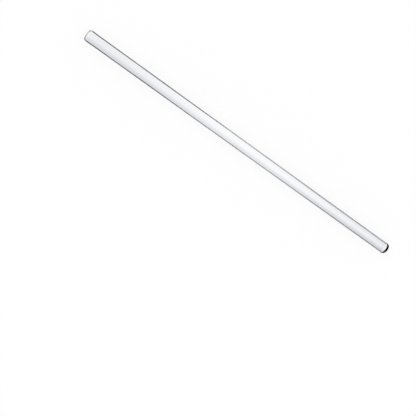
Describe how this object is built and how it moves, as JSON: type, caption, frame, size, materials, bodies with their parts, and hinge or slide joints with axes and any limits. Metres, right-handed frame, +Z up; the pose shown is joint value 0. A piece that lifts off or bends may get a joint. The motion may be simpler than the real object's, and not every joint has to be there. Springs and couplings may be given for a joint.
{
  "type": "glass stirring rod",
  "caption": "Straight solid glass stirring rod with both ends melted round, the stirring end a little rounder than the grip end.",
  "frame": {"origin": "on the rod's axis, at the middle of its length over both ends", "axes": "+X along the rod's axis towards the rounder stirring end, +Z up with the rod lying flat, +Y across it"},
  "size_m": [0.2, 0.0062, 0.0062],
  "materials": {
    "clear_glass": "drawn and flame polished, clear"
  },
  "bodies": {
    "root": {"stirring_rod": "clear_glass"}
  },
  "joints": []
}
